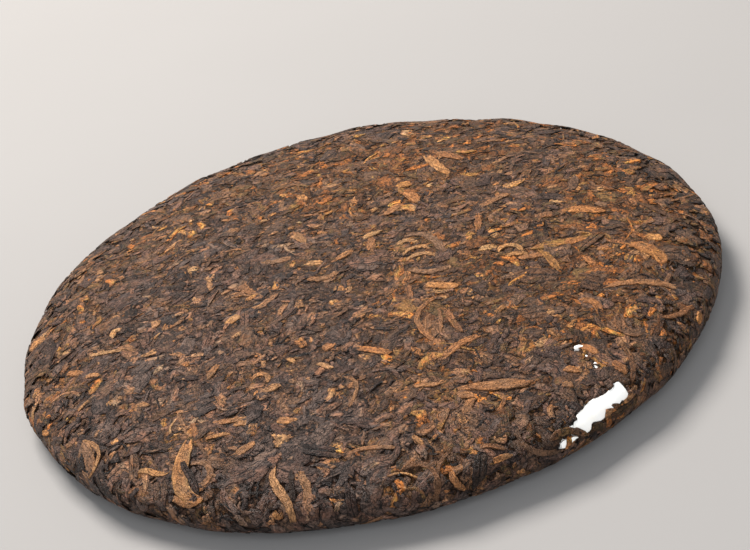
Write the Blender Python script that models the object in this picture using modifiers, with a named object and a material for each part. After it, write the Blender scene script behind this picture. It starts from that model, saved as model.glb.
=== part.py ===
"""A round pressed tea cake with a paper ticket pressed in under the leaves at its rim.

The cake is one low dome with a rounded rim, a flat sole and a dimple under its middle.
The ticket is a thin sheet in a slot just under the skin, and shows through torn gaps.

Frame: origin in the middle of the sole, +Z up, -Y towards the viewer. Metres.
"""

import math

import bpy
import numpy as np

MM = 0.001

# Driving dimensions of the cake
CAKE_RADIUS = 100.0 * MM
CAKE_HEIGHT = 22.7 * MM
RIM_HEIGHT = 8.0 * MM  # height of the widest line above the sole
SOLE_RADIUS = 80.0 * MM  # the flat underside ends here and curves up to the rim
DOME_POWER = 2.2  # of the radius: 2 would be an ellipse, more is flatter on top
SHOULDER_POWER = 2.6  # of the height: more makes a fuller, rounder rim
UNDERCUT_POWER = 2.4  # of both, for the curve from the rim in to the sole
DIMPLE_RADIUS = 26.0 * MM
DIMPLE_DEPTH = 8.0 * MM

# Unevenness left by the cloth bag and the stone: (waves round the rim, height, phase)
OUTLINE_WAVES = (
    (3, 0.32 * MM, math.radians(-31)),
    (4, 0.13 * MM, math.radians(16)),
    (5, 0.20 * MM, math.radians(90)),
    (7, 0.17 * MM, math.radians(-121)),
    (9, 0.12 * MM, math.radians(-76)),
)
LUMP_COUNT = 9
LUMP_HEIGHT = 0.14 * MM
SHORTEST_LUMP = 17.0 * MM
LUMP_STEP = 4.5 * MM
GOLDEN_ANGLE = math.pi * (3 - math.sqrt(5))

# Driving dimensions of the ticket, measured on the skin: around the rim, and down the slope
TICKET_AZIMUTH = math.radians(-60)
TICKET_TOP_RADIUS = 80.0 * MM  # the ring from which distances down the slope count
TICKET_AROUND = (-17.0 * MM, 19.0 * MM)
TICKET_DOWN = (0.0 * MM, 24.6 * MM)
PAPER_THICKNESS = 0.2 * MM
PAPER_DEPTH = 1.0 * MM  # of the middle of the sheet, below the skin
GAP = 0.3 * MM

# Where the leaves over the ticket are gone: (around, down) in millimetres
MAIN_WINDOW = (
    (8.2, 17.2), (9.7, 17.2), (10.0, 19.6), (9.4, 21.4), (5.6, 22.1), (-0.8, 22.7), (-3.2, 21.7),
    (-4.1, 22.6), (-6.3, 23.2), (-9.8, 20.5), (-6.6, 19.5), (-5.3, 18.2), (-2.3, 17.4), (2.0, 17.1),
)
SLIVER_WINDOW = ((-15.2, 23.1), (-12.0, 24.0), (-8.2, 23.1), (-9.8, 22.4), (-12.9, 22.5))
ROUND_WINDOWS = ((12.2, 2.6, 1.0), (10.8, 6.0, 0.7), (16.5, 6.2, 0.8), (9.9, 9.8, 0.7))

# Fineness of the faceted surfaces
TURN_STEPS = 96
DOME_RINGS = 19
UNDERCUT_RINGS = 7
SOLE_RINGS = 5
DIMPLE_RINGS = 6
SLOPE_SAMPLES = 2000
SHEET_STEPS_AROUND = 12
SHEET_STEPS_DOWN = 9
ROUND_WINDOW_SIDES = 10


def dome_curve(angles):
    """Radius and height of the upper skin; 0 is the pole and a right angle the widest line."""
    radius = CAKE_RADIUS * np.sin(angles) ** (2 / DOME_POWER)
    rise = np.clip(np.cos(angles), 0, 1) ** (2 / SHOULDER_POWER)
    return radius, RIM_HEIGHT + (CAKE_HEIGHT - RIM_HEIGHT) * rise


def undercut_curve(angles):
    """Radius and height of the lower rim; 0 is the widest line and a right angle the sole."""
    reach = np.clip(np.cos(angles), 0, 1) ** (2 / UNDERCUT_POWER)
    fall = np.sin(angles) ** (2 / UNDERCUT_POWER)
    return SOLE_RADIUS + (CAKE_RADIUS - SOLE_RADIUS) * reach, RIM_HEIGHT * (1 - fall)


def dimple_curve(fractions):
    """Radius and height of the dimple; 0 is its edge on the sole and 1 its deepest point."""
    radius = DIMPLE_RADIUS * (1 - fractions)
    height = DIMPLE_DEPTH * (0.5 - 0.5 * np.cos(math.pi * fractions))
    return radius, height


def cake_profile():
    """The profile at +X, from the top pole down the outer side and in along the underside."""
    right_angle = math.pi / 2
    dome_steps = np.linspace(0, 1, DOME_RINGS + 1)
    dome = dome_curve(right_angle * dome_steps)
    undercut = undercut_curve(np.linspace(0, right_angle, UNDERCUT_RINGS + 1)[1:])
    sole_radius = np.linspace(SOLE_RADIUS, DIMPLE_RADIUS, SOLE_RINGS + 1)[1:]
    sole = (sole_radius, np.zeros(SOLE_RINGS))
    dimple = dimple_curve(np.linspace(0, 1, DIMPLE_RINGS + 1)[1:])
    radius = np.concatenate([dome[0], undercut[0], sole[0], dimple[0]])
    height = np.concatenate([dome[1], undercut[1], sole[1], dimple[1]])
    return radius, height


def outward_directions(points):
    """Unit vectors out of the turned form: the gradients of the dome's and lower rim's curves."""
    radius = np.hypot(points[:, 0], points[:, 1])
    above = points[:, 2] > RIM_HEIGHT
    share = np.clip(radius / CAKE_RADIUS, 0, 1)
    reach = np.clip((radius - SOLE_RADIUS) / (CAKE_RADIUS - SOLE_RADIUS), 0, 1)
    dome_height = CAKE_HEIGHT - RIM_HEIGHT
    rise = np.clip((points[:, 2] - RIM_HEIGHT) / dome_height, 0, 1)
    fall = np.clip(1 - points[:, 2] / RIM_HEIGHT, 0, 1)
    dome_across = DOME_POWER * share ** (DOME_POWER - 1) / CAKE_RADIUS
    dome_upward = SHOULDER_POWER * rise ** (SHOULDER_POWER - 1) / dome_height
    rim_across = UNDERCUT_POWER * reach ** (UNDERCUT_POWER - 1) / (CAKE_RADIUS - SOLE_RADIUS)
    rim_upward = -UNDERCUT_POWER * fall ** (UNDERCUT_POWER - 1) / RIM_HEIGHT
    across = np.where(above, dome_across, rim_across) / np.maximum(radius, 1e-9)
    upward = np.where(above, dome_upward, rim_upward)
    directions = np.stack([across * points[:, 0], across * points[:, 1], upward], axis=1)
    return directions / np.linalg.norm(directions, axis=1, keepdims=True)


def made_uneven(points):
    """Moves points of the turned form out to the pressed one; the flat sole stays flat."""
    azimuth = np.arctan2(points[:, 1], points[:, 0])
    radius = np.hypot(points[:, 0], points[:, 1])
    wave = np.zeros(len(points))
    for count, height, phase in OUTLINE_WAVES:
        wave += height * np.cos(count * azimuth - phase)
    lump = np.zeros(len(points))
    for index in range(LUMP_COUNT):
        turn = index * GOLDEN_ANGLE
        across = points[:, 0] * math.cos(turn) + points[:, 1] * math.sin(turn)
        length = SHORTEST_LUMP + index * LUMP_STEP
        lump += LUMP_HEIGHT * np.sin(2 * math.pi * (across + points[:, 2]) / length + index)
    lift = np.clip(points[:, 2] / RIM_HEIGHT, 0, 1)
    in_dimple = radius < DIMPLE_RADIUS
    lift = np.where(in_dimple & (points[:, 2] <= DIMPLE_DEPTH), 0, lift)
    moved = points + outward_directions(points) * (lump * lift)[:, None]
    stretch = 1 + wave / CAKE_RADIUS * (radius / CAKE_RADIUS) ** 2
    moved[:, :2] *= stretch[:, None]
    return moved


def slope_point(distance):
    """Radius and height at a distance down the slope from the ticket's top ring."""
    right_angle = math.pi / 2
    dome = dome_curve(np.linspace(0, right_angle, SLOPE_SAMPLES))
    undercut = undercut_curve(np.linspace(0, right_angle, SLOPE_SAMPLES)[1:])
    radius = np.concatenate([dome[0], undercut[0]])
    height = np.concatenate([dome[1], undercut[1]])
    travelled = np.concatenate([[0], np.cumsum(np.hypot(np.diff(radius), np.diff(height)))])
    start = np.interp(TICKET_TOP_RADIUS, radius[:SLOPE_SAMPLES], travelled[:SLOPE_SAMPLES])
    return (
        np.interp(start + distance, travelled, radius),
        np.interp(start + distance, travelled, height),
    )


def skin_points(around, down, depth):
    """Points under the skin near the ticket, from distances on the skin and a depth below it."""
    radius, height = slope_point(down)
    azimuth = TICKET_AZIMUTH + around / CAKE_RADIUS
    turned = np.stack([radius * np.cos(azimuth), radius * np.sin(azimuth), height], axis=1)
    return made_uneven(turned) - outward_directions(turned) * depth


def new_collection(name):
    collection = bpy.data.collections.new(name)
    bpy.context.scene.collection.children.link(collection)
    return collection


def new_material(name, colour, roughness, metallic):
    material = bpy.data.materials.new(name)
    material.use_nodes = True
    shader = material.node_tree.nodes["Principled BSDF"]
    shader.inputs["Base Color"].default_value = (*colour, 1)
    shader.inputs["Roughness"].default_value = roughness
    shader.inputs["Metallic"].default_value = metallic
    material.diffuse_color = (*colour, 1)
    return material


def new_object(name, collection, points, edges, faces):
    mesh = bpy.data.meshes.new(name)
    mesh.from_pydata([tuple(point) for point in points], edges, faces)
    thing = bpy.data.objects.new(name, mesh)
    collection.objects.link(thing)
    return thing


def add_thickness(thing, thickness):
    shell = thing.modifiers.new("Thickness", "SOLIDIFY")
    shell.thickness = thickness
    shell.offset = 0
    shell.use_even_offset = True


def mark_as_cutter(thing):
    thing.hide_render = True
    thing.display_type = "WIRE"


def turned_cake(name, collection):
    """The cake's turned form, from its profile with a Screw modifier, as a plain mesh."""
    radius, height = cake_profile()
    points = np.stack([radius, np.zeros(len(radius)), height], axis=1)
    edges = [(index, index + 1) for index in range(len(radius) - 1)]
    profile = new_object("profile", collection, points, edges, [])
    screw = profile.modifiers.new("Turn", "SCREW")
    screw.axis = "Z"
    screw.angle = 2 * math.pi
    screw.steps = TURN_STEPS
    screw.render_steps = TURN_STEPS
    screw.use_merge_vertices = True
    screw.merge_threshold = 0.05 * MM
    mesh = bpy.data.meshes.new_from_object(profile.evaluated_get(bpy.context.evaluated_depsgraph_get()))
    mesh.name = name
    bpy.data.objects.remove(profile)
    cake = bpy.data.objects.new(name, mesh)
    collection.objects.link(cake)
    return cake


def sheet_under_skin(name, collection, around, down, depth, thickness):
    """A curved sheet that follows the skin at one depth, between two limits each way."""
    along = np.linspace(*around, SHEET_STEPS_AROUND + 1)
    below = np.linspace(*down, SHEET_STEPS_DOWN + 1)
    grid_along, grid_below = np.meshgrid(along, below)
    points = skin_points(grid_along.ravel(), grid_below.ravel(), depth)
    row = SHEET_STEPS_AROUND + 1
    faces = []
    for line in range(SHEET_STEPS_DOWN):
        for step in range(SHEET_STEPS_AROUND):
            corner = line * row + step
            faces.append((corner, corner + row, corner + row + 1, corner + 1))
    sheet = new_object(name, collection, points, [], faces)
    add_thickness(sheet, thickness)
    return sheet


def window_cutter(name, collection, outline):
    """A prism over one gap in the leaves, from outside the skin down into the ticket's slot."""
    above_skin = 2.0 * MM
    into_slot = PAPER_DEPTH - 0.15 * MM
    around, down = np.array(outline).T * MM
    middle = (into_slot - above_skin) / 2
    points = skin_points(around, down, middle)
    cutter = new_object(name, collection, points, [], [tuple(range(len(points)))])
    add_thickness(cutter, into_slot + above_skin)
    mark_as_cutter(cutter)
    return cutter


def round_outline(around, down, radius):
    """A small round gap, as (around, down) points in millimetres."""
    turns = np.arange(ROUND_WINDOW_SIDES) * 2 * math.pi / ROUND_WINDOW_SIDES
    return [(around + radius * math.cos(turn), down + radius * math.sin(turn)) for turn in turns]


def cut(thing, cutter):
    boolean = thing.modifiers.new(cutter.name, "BOOLEAN")
    boolean.operation = "DIFFERENCE"
    boolean.solver = "EXACT"
    boolean.object = cutter


def make_cake(collection, cutters):
    cake = turned_cake("tea_cake", collection)
    points = np.empty(len(cake.data.vertices) * 3, dtype=np.float32)
    cake.data.vertices.foreach_get("co", points)
    uneven = made_uneven(points.reshape(-1, 3).astype(float))
    cake.data.vertices.foreach_set("co", uneven.astype(np.float32).ravel())
    cake.data.shade_smooth()
    cake.data.materials.clear()
    cake.data.materials.append(new_material("pressed_tea", (0.115, 0.068, 0.044), 0.62, 0.0))

    slot = sheet_under_skin(
        "ticket_slot",
        cutters,
        (TICKET_AROUND[0] - GAP, TICKET_AROUND[1] + GAP),
        (TICKET_DOWN[0] - GAP, TICKET_DOWN[1] + GAP),
        PAPER_DEPTH,
        PAPER_THICKNESS + 2 * GAP,
    )
    mark_as_cutter(slot)
    cut(cake, slot)
    outlines = [MAIN_WINDOW, SLIVER_WINDOW]
    outlines += [round_outline(*place) for place in ROUND_WINDOWS]
    for number, outline in enumerate(outlines, start=1):
        cut(cake, window_cutter(f"window_{number}", cutters, outline))
    return cake


def make_ticket(collection):
    ticket = sheet_under_skin(
        "paper_ticket", collection, TICKET_AROUND, TICKET_DOWN, PAPER_DEPTH, PAPER_THICKNESS
    )
    ticket.data.shade_smooth()
    ticket.data.materials.append(new_material("ticket_paper", (0.82, 0.80, 0.75), 0.75, 0.0))
    return ticket


def main():
    for thing in list(bpy.data.objects):
        bpy.data.objects.remove(thing)
    parts = new_collection("pressed_tea_cake")
    cutters = new_collection("cutters")
    make_cake(parts, cutters)
    make_ticket(parts)


main()
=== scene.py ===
"""Looks of a pressed tea cake: its bed of fine leaf, its pressed leaves, buds and stems, and its paper ticket.

Shapes are worked out in millimetres on the cake's skin and stored in metres. A place on the skin is a
point of a flat chart: its distance from the middle is the distance travelled over the skin from the
middle of the face, or from the middle of the underside.
"""

from __future__ import annotations

import logging
import math
from dataclasses import dataclass, field
from enum import Enum

import bpy
import numpy as np
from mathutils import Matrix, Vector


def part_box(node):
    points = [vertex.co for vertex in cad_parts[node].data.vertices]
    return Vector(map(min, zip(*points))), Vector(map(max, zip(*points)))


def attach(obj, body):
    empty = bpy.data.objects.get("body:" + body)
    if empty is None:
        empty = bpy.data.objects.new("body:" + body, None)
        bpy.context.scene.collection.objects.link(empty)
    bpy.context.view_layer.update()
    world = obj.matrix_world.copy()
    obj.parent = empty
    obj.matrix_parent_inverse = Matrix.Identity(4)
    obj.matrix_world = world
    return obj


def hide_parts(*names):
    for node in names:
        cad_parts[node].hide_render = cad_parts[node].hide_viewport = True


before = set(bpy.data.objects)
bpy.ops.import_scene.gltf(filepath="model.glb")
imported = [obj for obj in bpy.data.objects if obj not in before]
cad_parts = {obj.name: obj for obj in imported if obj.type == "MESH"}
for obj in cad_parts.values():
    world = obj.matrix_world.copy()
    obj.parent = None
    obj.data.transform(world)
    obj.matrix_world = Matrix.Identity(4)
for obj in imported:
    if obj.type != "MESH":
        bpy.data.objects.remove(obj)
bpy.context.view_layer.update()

LOG = logging.getLogger("tea_cake")
Array = np.ndarray
Span = tuple[float, float]
MM = 0.001
RIGHT_ANGLE = math.pi / 2
GOLDEN_ANGLE = math.pi * (3 - math.sqrt(5))
ROOT = "root"


class Side(Enum):
    """The two charts that cover the cake."""

    FACE = "face"
    UNDERSIDE = "underside"


# ---------------------------------------------------------------------------------------------------
# The skin that everything lies on
# ---------------------------------------------------------------------------------------------------


@dataclass
class CakeSkin:
    """The pressed cake's skin, in millimetres: a turned profile with slow waves and low lumps."""

    radius: float
    height: float
    rim_height: float = 8.0
    sole_radius: float = 80.0
    dome_power: float = 2.2
    shoulder_power: float = 2.6
    undercut_power: float = 2.4
    dimple_radius: float = 26.0
    dimple_depth: float = 8.0
    outline_waves: tuple[tuple[int, float, float], ...] = (
        (3, 0.32, -31.0),
        (4, 0.13, 16.0),
        (5, 0.20, 90.0),
        (7, 0.17, -121.0),
        (9, 0.12, -76.0),
    )
    lump_count: int = 9
    lump_height: float = 0.14
    shortest_lump: float = 17.0
    lump_step: float = 4.5
    samples: int = 3000
    travel: Array = field(init=False, repr=False)
    profile: Array = field(init=False, repr=False)
    slopes: Array = field(init=False, repr=False)
    widest_travel: float = field(init=False)
    whole_travel: float = field(init=False)

    def __post_init__(self) -> None:
        """Tabulates the profile from the top pole, over the rim and along the underside to its middle."""
        turn = np.linspace(0, RIGHT_ANGLE, self.samples)
        rise = np.clip(np.cos(turn), 0, 1)
        fall = np.sin(turn)[1:]
        reach = np.clip(np.cos(turn), 0, 1)[1:]
        inwards = np.linspace(1, 0, self.samples)[1:]
        dome_height = self.height - self.rim_height
        overhang = self.radius - self.sole_radius
        radius = np.concatenate([
            self.radius * np.sin(turn) ** (2 / self.dome_power),
            self.sole_radius + overhang * reach ** (2 / self.undercut_power),
            self.dimple_radius + (self.sole_radius - self.dimple_radius) * inwards,
            self.dimple_radius * inwards,
        ])
        height = np.concatenate([
            self.rim_height + dome_height * rise ** (2 / self.shoulder_power),
            self.rim_height * (1 - fall ** (2 / self.undercut_power)),
            np.zeros(self.samples - 1),
            self.dimple_depth * (0.5 + 0.5 * np.cos(math.pi * inwards)),
        ])
        steps = np.hypot(np.diff(radius), np.diff(height))
        self.travel = np.concatenate([[0], np.cumsum(steps)])
        self.profile = np.stack([radius, height])
        across = np.gradient(radius, self.travel)
        upward = np.gradient(height, self.travel)
        length = np.hypot(across, upward)
        self.slopes = np.stack([-upward / length, across / length])
        self.widest_travel = float(self.travel[self.samples - 1])
        self.whole_travel = float(self.travel[-1])

    def travel_at_radius(self, radius: float) -> float:
        """Distance over the skin from the top pole to a ring of the face."""
        rings = self.profile[0, : self.samples]
        return float(np.interp(radius, rings, self.travel[: self.samples]))

    def ring_radius(self, side: Side, distance: Array) -> Array:
        """Radius of the ring at a distance from the middle of one side."""
        travel = distance if side is Side.FACE else self.whole_travel - distance
        return np.interp(travel, self.travel, self.profile[0])

    def place(self, side: Side, chart: Array, lift: Array) -> Array:
        """Points in space for points of a chart.

        The turned profile gives a point and its outward direction. Low lumps move the point along that
        direction: a sum of sine waves whose directions step by the golden angle. The lift is added along
        the same direction, and the outline's waves then stretch the point away from the axis.

        Args:
            side: which chart the points are on.
            chart: (..., 2) distances from the middle of that side.
            lift: (...) height above the skin, negative below it.

        Returns:
            (..., 3) points in millimetres.
        """
        distance = np.hypot(chart[..., 0], chart[..., 1])
        azimuth = np.arctan2(chart[..., 1], chart[..., 0])
        travel = distance
        if side is Side.UNDERSIDE:
            travel = self.whole_travel - distance
            azimuth = -azimuth
        radius, height = (np.interp(travel, self.travel, row) for row in self.profile)
        across, upward = (np.interp(travel, self.travel, row) for row in self.slopes)
        east, north = np.cos(azimuth), np.sin(azimuth)
        lump = np.zeros_like(radius)
        for index in range(self.lump_count):
            turn = index * GOLDEN_ANGLE
            way = radius * (east * math.cos(turn) + north * math.sin(turn)) + height
            length = self.shortest_lump + index * self.lump_step
            lump += self.lump_height * np.sin(2 * math.pi * way / length + index)
        raised = np.clip(height / self.rim_height, 0, 1)
        on_sole = (radius < self.dimple_radius) & (height <= self.dimple_depth)
        out = lump * np.where(on_sole, 0, raised) + lift
        wave = np.zeros_like(radius)
        for count, size, phase in self.outline_waves:
            wave += size * np.cos(count * azimuth - math.radians(phase))
        stretch = 1 + wave / self.radius * np.clip(radius / self.radius, 0, 1) ** 2
        away = (radius + across * out) * stretch
        return np.stack([away * east, away * north, height + upward * out], axis=-1)


@dataclass(frozen=True)
class TicketPlace:
    """Where the ticket lies on the face: distances around the rim and down the slope, in millimetres."""

    azimuth: float = math.radians(-60)
    top_radius: float = 80.0
    around: Span = (-17.0, 19.0)
    down: Span = (0.0, 24.6)
    gaps: tuple[tuple[Span, ...], ...] = (
        (
            (8.2, 16.8), (9.2, 17.0), (9.9, 17.3), (9.9, 20.0), (9.8, 21.1), (9.2, 21.6), (7.6, 21.8),
            (5.4, 22.0), (3.2, 22.1), (1.3, 22.5), (-0.7, 22.6), (-1.9, 22.2), (-3.0, 21.8),
            (-3.7, 22.0), (-4.3, 23.1), (-5.4, 23.4), (-6.6, 23.2), (-6.8, 22.4), (-7.3, 21.6),
            (-8.5, 21.0), (-9.5, 20.6), (-9.6, 20.0), (-9.0, 19.5), (-6.5, 19.4), (-6.0, 18.5),
            (-4.4, 17.9), (-2.0, 17.4), (-0.9, 17.0), (1.1, 17.0), (2.7, 17.5), (4.8, 17.6),
            (6.7, 17.4), (8.0, 17.6),
        ),
        ((-15.2, 23.0), (-14.3, 22.6), (-12.4, 22.3), (-10.4, 22.4), (-8.4, 22.8), (-8.2, 23.2),
         (-9.5, 23.5), (-10.5, 23.9), (-12.1, 24.4), (-13.7, 23.8)),
        ((-12.7, 19.9), (-11.8, 19.8), (-10.5, 20.2), (-10.6, 20.6), (-11.9, 20.7), (-12.6, 20.3)),
        ((10.7, 2.0), (11.6, 1.6), (12.8, 2.1), (13.4, 3.1), (13.0, 3.6), (12.1, 2.8), (11.1, 2.4)),
        ((16.0, 5.8), (16.8, 6.2), (16.8, 6.8), (16.1, 7.0), (15.7, 6.3)),
        ((10.3, 5.8), (11.1, 5.7), (11.2, 6.4), (10.6, 6.6), (10.2, 6.3)),
        ((10.3, 9.0), (11.0, 9.3), (10.5, 9.8), (9.7, 9.6), (9.5, 10.2), (9.6, 11.5), (9.1, 11.5),
         (8.8, 10.0), (9.3, 9.3)),
    )

    def to_chart(self, skin: CakeSkin, around: Array, down: Array) -> Array:
        """Points of the face's chart for distances around the rim and down the slope."""
        travel = skin.travel_at_radius(self.top_radius) + down
        azimuth = self.azimuth + around / skin.radius
        return np.stack([travel * np.cos(azimuth), travel * np.sin(azimuth)], axis=-1)

    def from_chart(self, skin: CakeSkin, chart: Array) -> tuple[Array, Array]:
        """Distances around the rim and down the slope for points of the face's chart."""
        turn = np.arctan2(chart[..., 1], chart[..., 0]) - self.azimuth
        turn = (turn + math.pi) % (2 * math.pi) - math.pi
        down = np.hypot(chart[..., 0], chart[..., 1]) - skin.travel_at_radius(self.top_radius)
        return turn * skin.radius, down

    def depth_inside(self, around: Array, down: Array) -> Array:
        """How far a point is inside the nearest gap, negative outside, in millimetres.

        For each edge of a gap's outline, the distance to the edge is taken, and a count of the edges
        crossed by a line to the right tells inside from outside.
        """
        best = np.full(around.shape, -1e3)
        for outline in self.gaps:
            corners = np.array(outline)
            nearest = np.full(around.shape, 1e3)
            crossings = np.zeros(around.shape, dtype=int)
            for start, end in zip(corners, np.roll(corners, -1, axis=0)):
                edge = end - start
                share = ((around - start[0]) * edge[0] + (down - start[1]) * edge[1]) / (edge @ edge)
                share = np.clip(share, 0, 1)
                apart = np.hypot(around - start[0] - share * edge[0], down - start[1] - share * edge[1])
                nearest = np.minimum(nearest, apart)
                spans = (start[1] > down) != (end[1] > down)
                rise = edge[1] if abs(edge[1]) > 1e-9 else 1e-9
                crossing = start[0] + (down - start[1]) * edge[0] / rise
                crossings += spans & (around < crossing)
            inside = np.where(crossings % 2 == 1, nearest, -nearest)
            best = np.maximum(best, inside)
        return best


# ---------------------------------------------------------------------------------------------------
# Meshes and shader nodes
# ---------------------------------------------------------------------------------------------------


def smooth_step(values: Array) -> Array:
    """0 below 0, 1 above 1, and 3v^2 - 2v^3 between."""
    share = np.clip(values, 0, 1)
    return share * share * (3 - 2 * share)


def rim_looseness(distance: Array) -> Array:
    """How loosely the leaves lie at a distance from the middle: 0 on the pressed face, 1 at the rim."""
    return smooth_step((distance - 80) / 20)


def spread(rng: np.random.Generator, span: Span, count: int) -> Array:
    """Random values between the two ends of a span."""
    return rng.uniform(span[0], span[1], count)


def mesh_piece(name: str, points: Array, faces: list[Array], values: dict[str, Array],
               flat_map: Array | None = None, smooth: list[Array] | None = None) -> bpy.types.Object:
    """A mesh object from arrays.

    Args:
        name: the piece's name.
        points: (count, 3) points in millimetres.
        faces: arrays of corner numbers, one array for each number of corners.
        values: one number for each point, by the name that the material reads.
        flat_map: (count, 2) places in the piece's own flat map, in centimetres.
        smooth: for each array of faces, whether each face is smooth; all are when left out.

    Returns:
        The object, at the origin, with its place in its mesh.
    """
    corners = np.concatenate([group.ravel() for group in faces]).astype(np.int32)
    sizes = np.concatenate([np.full(len(group), group.shape[1]) for group in faces])
    starts = np.concatenate([[0], np.cumsum(sizes)[:-1]]).astype(np.int32)
    mesh = bpy.data.meshes.new(name)
    mesh.vertices.add(len(points))
    mesh.vertices.foreach_set("co", (points * MM).astype(np.float32).ravel())
    mesh.loops.add(len(corners))
    mesh.loops.foreach_set("vertex_index", corners)
    mesh.polygons.add(len(sizes))
    mesh.polygons.foreach_set("loop_start", starts)
    mesh.update(calc_edges=True)
    rounded = np.ones(len(sizes), dtype=bool) if smooth is None else np.concatenate(smooth)
    mesh.polygons.foreach_set("use_smooth", rounded)
    for label, numbers in values.items():
        attribute = mesh.attributes.new(label, "FLOAT", "POINT")
        attribute.data.foreach_set("value", numbers.astype(np.float32).ravel())
    if flat_map is not None:
        layer = mesh.uv_layers.new(name="leaf_map")
        layer.data.foreach_set("uv", flat_map[corners].astype(np.float32).ravel())
    piece = bpy.data.objects.new(name, mesh)
    bpy.context.scene.collection.objects.link(piece)
    return piece


def finish_piece(piece: bpy.types.Object, material: bpy.types.Material, node: str) -> None:
    """Dresses a piece, lets it ride on the cake's body and lets it stand for a node of the frame."""
    piece.data.materials.append(material)
    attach(piece, ROOT)
    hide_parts(node)
    LOG.info("%s: %d faces", piece.name, len(piece.data.polygons))


class Wiring:
    """Places and joins shader nodes in one tree."""

    def __init__(self, tree: bpy.types.NodeTree) -> None:
        """Starts in an empty tree."""
        self.tree = tree

    def node(self, kind: str, settings: dict | None = None, **inputs: object) -> bpy.types.Node:
        """A node with its settings, and with inputs that are constants or other nodes' outputs.

        Args:
            kind: the node's type, without its ShaderNode prefix.
            settings: properties of the node.
            inputs: socket names, with underscores for spaces; in0, in1 and so on name sockets by number.

        Returns:
            The node.
        """
        made = self.tree.nodes.new("ShaderNode" + kind)
        for label, value in (settings or {}).items():
            setattr(made, label, value)
        for label, value in inputs.items():
            numbered = label[:2] == "in" and label[2:].isdigit()
            socket = made.inputs[int(label[2:])] if numbered else made.inputs[label.replace("_", " ")]
            self.feed(socket, value)
        return made

    def feed(self, socket: bpy.types.NodeSocket, value: object) -> None:
        """Joins an output to a socket, or sets the socket to a constant."""
        if isinstance(value, bpy.types.NodeSocket):
            self.tree.links.new(value, socket)
        else:
            socket.default_value = value

    def sum(self, operation: str, *terms: object, clamp: bool = False) -> bpy.types.NodeSocket:
        """The result of a Math node."""
        inputs = {f"in{index}": term for index, term in enumerate(terms)}
        return self.node("Math", {"operation": operation, "use_clamp": clamp}, **inputs).outputs[0]

    def blend(self, share: object, first: object, second: object, way: str = "MIX") -> bpy.types.NodeSocket:
        """A colour between two colours."""
        settings = {"data_type": "RGBA", "blend_type": way, "clamp_factor": True}
        mix = self.node("Mix", settings, in0=share, in6=first, in7=second)
        return mix.outputs[2]

    def rescale(self, value: object, low: Span, high: Span) -> bpy.types.NodeSocket:
        """A value carried from one range to another, held at its ends."""
        return self.node("MapRange", None, Value=value, From_Min=low[0], From_Max=low[1],
                         To_Min=high[0], To_Max=high[1]).outputs[0]

    def ridge(self, value: object, sharpness: float) -> bpy.types.NodeSocket:
        """1 where a value crosses one half, falling to 0 on both sides: thin winding lines."""
        apart = self.sum("ABSOLUTE", self.sum("SUBTRACT", value, 0.5))
        return self.sum("SUBTRACT", 1.0, self.sum("MULTIPLY", apart, sharpness), clamp=True)

    def noise(self, vector: object, scale: float, detail: float = 2.0, roughness: float = 0.5,
              distortion: float = 0.0) -> bpy.types.NodeSocket:
        """The value of a Noise Texture node."""
        return self.node("TexNoise", None, Vector=vector, Scale=scale, Detail=detail,
                         Roughness=roughness, Distortion=distortion).outputs["Fac"]


def new_group(name: str, inputs: dict[str, str], outputs: dict[str, str]) -> tuple[Wiring, dict, dict]:
    """An empty node group with named sockets.

    Args:
        name: the group's name.
        inputs: socket name to kind (Float, Vector or Color).
        outputs: the same for its results.

    Returns:
        The wiring of the group, the sockets that bring its inputs, and the ones that take its outputs.
    """
    tree = bpy.data.node_groups.new(name, "ShaderNodeTree")
    for label, kind in inputs.items():
        tree.interface.new_socket(name=label, in_out="INPUT", socket_type="NodeSocket" + kind)
    for label, kind in outputs.items():
        tree.interface.new_socket(name=label, in_out="OUTPUT", socket_type="NodeSocket" + kind)
    entry = tree.nodes.new("NodeGroupInput")
    ending = tree.nodes.new("NodeGroupOutput")
    brought = {label: entry.outputs[label] for label in inputs}
    taken = {label: ending.inputs[label] for label in outputs}
    return Wiring(tree), brought, taken


def srgb(red: int, green: int, blue: int) -> tuple[float, float, float, float]:
    """A colour as seen on a screen, 0 to 255, as the linear numbers that shaders take."""
    def linear(level: float) -> float:
        """One channel: a straight foot up to 0.04, then a power of 2.4."""
        share = level / 255
        return share / 12.92 if share <= 0.04045 else ((share + 0.055) / 1.055) ** 2.4

    return (linear(red), linear(green), linear(blue), 1.0)


# ---------------------------------------------------------------------------------------------------
# Finishes
# ---------------------------------------------------------------------------------------------------


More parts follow.
